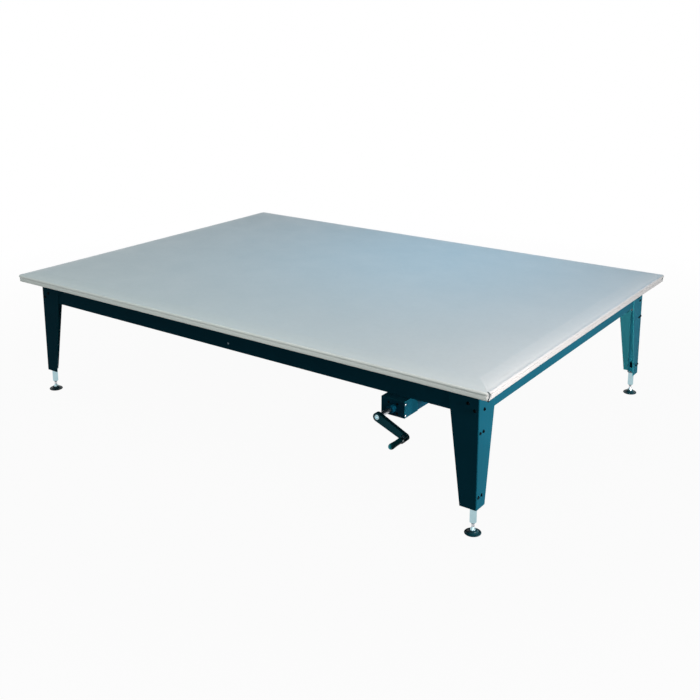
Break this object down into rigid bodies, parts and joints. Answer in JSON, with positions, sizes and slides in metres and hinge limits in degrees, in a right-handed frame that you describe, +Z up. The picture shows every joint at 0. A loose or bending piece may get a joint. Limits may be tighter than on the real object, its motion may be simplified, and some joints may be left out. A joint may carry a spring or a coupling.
{
  "type": "mat platform",
  "caption": "Padded treatment mat platform on a steel frame; a folding hand crank drives hydraulic lift cylinders inside the folded-plate legs, over levelling feet.",
  "frame": {"origin": "centre of the bounding box on the floor, with the platform lowered", "axes": "+X along the length to the right, seen from the crank's side; +Y towards the back; +Z up"},
  "size_m": [2.134, 1.6558, 0.509],
  "materials": {
    "vinyl": "fine-grained, satin",
    "foam": "open cell, matt",
    "plywood": "bare veneer",
    "frame_paint": "dark petrol powder coat, satin",
    "bolt_steel": "dark zinc",
    "bright_steel": "bright zinc",
    "chrome": "polished",
    "pad_plastic": "moulded, satin",
    "pump_black": "black anodised",
    "pump_steel": "turned",
    "brass": "machined",
    "hose_black": "smooth, satin",
    "clip_plastic": "moulded",
    "crank_black": "black enamel, gloss",
    "grip_plastic": "moulded, gloss"
  },
  "bodies": {
    "swivel_front_right": {"swivel_front_right": "chrome"},
    "rod_front_right": {"rod_front_right": "chrome"},
    "platform": {"mat_cover": "vinyl", "mat_foam": "foam", "deck_panel_left": "plywood", "deck_panel_right": "plywood", "deck_clips": "frame_paint", "deck_screws": "bright_steel", "rail_front": "frame_paint", "rail_rear": "frame_paint", "rail_left": "frame_paint", "rail_right": "frame_paint", "cross_members": "frame_paint", "corner_gussets": "frame_paint", "leg_front_left": "frame_paint", "leg_front_right": "frame_paint", "leg_rear_left": "frame_paint", "leg_rear_right": "frame_paint", "leg_bolts": "bolt_steel", "cylinder_front_left": "pump_black", "cylinder_front_right": "pump_black", "cylinder_rear_left": "pump_black", "cylinder_rear_right": "pump_black", "cylinder_glands": "pump_steel", "cylinder_blocks": "pump_black", "block_screws": "bolt_steel", "pump_body": "pump_black", "pump_front_plate": "pump_black", "pump_rear_plate": "pump_black", "pump_bracket": "frame_paint", "pump_screws": "bright_steel", "hose_fittings": "brass", "hose_front_left": "hose_black", "hose_front_right": "hose_black", "hose_rear_left": "hose_black", "hose_rear_right": "hose_black", "hose_clips": "clip_plastic", "clip_screws": "bright_steel"},
    "rod_front_left": {"rod_front_left": "chrome"},
    "swivel_front_left": {"swivel_front_left": "chrome"},
    "rod_rear_left": {"rod_rear_left": "chrome"},
    "swivel_rear_left": {"swivel_rear_left": "chrome"},
    "rod_rear_right": {"rod_rear_right": "chrome"},
    "swivel_rear_right": {"swivel_rear_right": "chrome"},
    "stud_front_left": {"stud_front_left": "bright_steel"},
    "pad_front_left": {"pad_front_left": "pad_plastic"},
    "stud_front_right": {"stud_front_right": "bright_steel"},
    "pad_front_right": {"pad_front_right": "pad_plastic"},
    "stud_rear_left": {"stud_rear_left": "bright_steel"},
    "pad_rear_left": {"pad_rear_left": "pad_plastic"},
    "stud_rear_right": {"stud_rear_right": "bright_steel"},
    "pad_rear_right": {"pad_rear_right": "pad_plastic"},
    "crank": {"crank_arm": "crank_black", "hub_screw": "chrome", "fold_pin": "bright_steel", "pump_spindle": "bright_steel"},
    "grip_link": {"grip_link": "pump_steel"},
    "grip": {"grip": "grip_plastic"},
    "pump_slider": {"pump_crosshead": "pump_steel", "pump_pistons": "pump_steel"}
  },
  "joints": [
    {"name": "level_front_right", "type": "slide", "parent": "swivel_front_right", "child": "rod_front_right", "axis": [0, 0, 1], "range_m": [0, 0.015]},
    {"name": "lift_front_right", "type": "slide", "parent": "rod_front_right", "child": "platform", "axis": [0, 0, 1], "range_m": [0, 0.203]},
    {"name": "lift_front_left", "type": "slide", "parent": "platform", "child": "rod_front_left", "axis": [0, 0, -1], "range_m": [0, 0.203]},
    {"name": "level_front_left", "type": "slide", "parent": "rod_front_left", "child": "swivel_front_left", "axis": [0, 0, -1], "range_m": [0, 0.015]},
    {"name": "lift_rear_left", "type": "slide", "parent": "platform", "child": "rod_rear_left", "axis": [0, 0, -1], "range_m": [0, 0.203]},
    {"name": "level_rear_left", "type": "slide", "parent": "rod_rear_left", "child": "swivel_rear_left", "axis": [0, 0, -1], "range_m": [0, 0.015]},
    {"name": "lift_rear_right", "type": "slide", "parent": "platform", "child": "rod_rear_right", "axis": [0, 0, -1], "range_m": [0, 0.203]},
    {"name": "level_rear_right", "type": "slide", "parent": "rod_rear_right", "child": "swivel_rear_right", "axis": [0, 0, -1], "range_m": [0, 0.015]},
    {"name": "spin_front_left", "type": "hinge", "parent": "swivel_front_left", "child": "stud_front_left", "pos_m": [-0.984, -0.6106, 0.012], "axis": [0, 0, 1], "range_deg": [0, 3601]},
    {"name": "tilt_front_left", "type": "hinge", "parent": "swivel_front_left", "child": "pad_front_left", "pos_m": [-0.984, -0.6106, 0.012], "axis": [1, 0, 0], "range_deg": [-8, 8]},
    {"name": "spin_front_right", "type": "hinge", "parent": "swivel_front_right", "child": "stud_front_right", "pos_m": [0.984, -0.6106, 0.012], "axis": [0, 0, 1], "range_deg": [0, 3601]},
    {"name": "tilt_front_right", "type": "hinge", "parent": "swivel_front_right", "child": "pad_front_right", "pos_m": [0.984, -0.6106, 0.012], "axis": [1, 0, 0], "range_deg": [-8, 8]},
    {"name": "spin_rear_left", "type": "hinge", "parent": "swivel_rear_left", "child": "stud_rear_left", "pos_m": [-0.984, 0.7424, 0.012], "axis": [0, 0, 1], "range_deg": [0, 3601]},
    {"name": "tilt_rear_left", "type": "hinge", "parent": "swivel_rear_left", "child": "pad_rear_left", "pos_m": [-0.984, 0.7424, 0.012], "axis": [1, 0, 0], "range_deg": [-8, 8]},
    {"name": "spin_rear_right", "type": "hinge", "parent": "swivel_rear_right", "child": "stud_rear_right", "pos_m": [0.984, 0.7424, 0.012], "axis": [0, 0, 1], "range_deg": [0, 3601]},
    {"name": "tilt_rear_right", "type": "hinge", "parent": "swivel_rear_right", "child": "pad_rear_right", "pos_m": [0.984, 0.7424, 0.012], "axis": [1, 0, 0], "range_deg": [-8, 8]},
    {"name": "crank_turn", "type": "hinge", "parent": "platform", "child": "crank", "pos_m": [0.724, -0.6611, 0.3585], "axis": [0, 1, 0], "range_deg": [0, 14600]},
    {"name": "pump_stroke", "type": "slide", "parent": "platform", "child": "pump_slider", "axis": [0, 1, 0], "range_m": [0, 0.0812]},
    {"name": "grip_fold", "type": "hinge", "parent": "crank", "child": "grip_link", "pos_m": [0.82065, -0.7594, 0.31747], "axis": [-0.3907, 0, -0.9205], "range_deg": [0, 90]},
    {"name": "grip_spin", "type": "hinge", "parent": "grip_link", "child": "grip", "pos_m": [0.82065, -0.7794, 0.31747], "axis": [0, -1, 0], "continuous": true}
  ],
  "couplings": [
    {"joint": "lift_front_right", "follows": "crank_turn", "m_per_rad": 0.00079577},
    {"joint": "lift_front_left", "follows": "crank_turn", "m_per_rad": 0.00079577},
    {"joint": "lift_rear_left", "follows": "crank_turn", "m_per_rad": 0.00079577},
    {"joint": "lift_rear_right", "follows": "crank_turn", "m_per_rad": 0.00079577},
    {"joint": "spin_front_left", "follows": "level_front_left", "rad_per_m": 4188.8},
    {"joint": "spin_front_right", "follows": "level_front_right", "rad_per_m": 4188.8},
    {"joint": "spin_rear_left", "follows": "level_rear_left", "rad_per_m": 4188.8},
    {"joint": "spin_rear_right", "follows": "level_rear_right", "rad_per_m": 4188.8},
    {"joint": "pump_stroke", "follows": "crank_turn", "m_per_rad": 0.00031831}
  ]
}
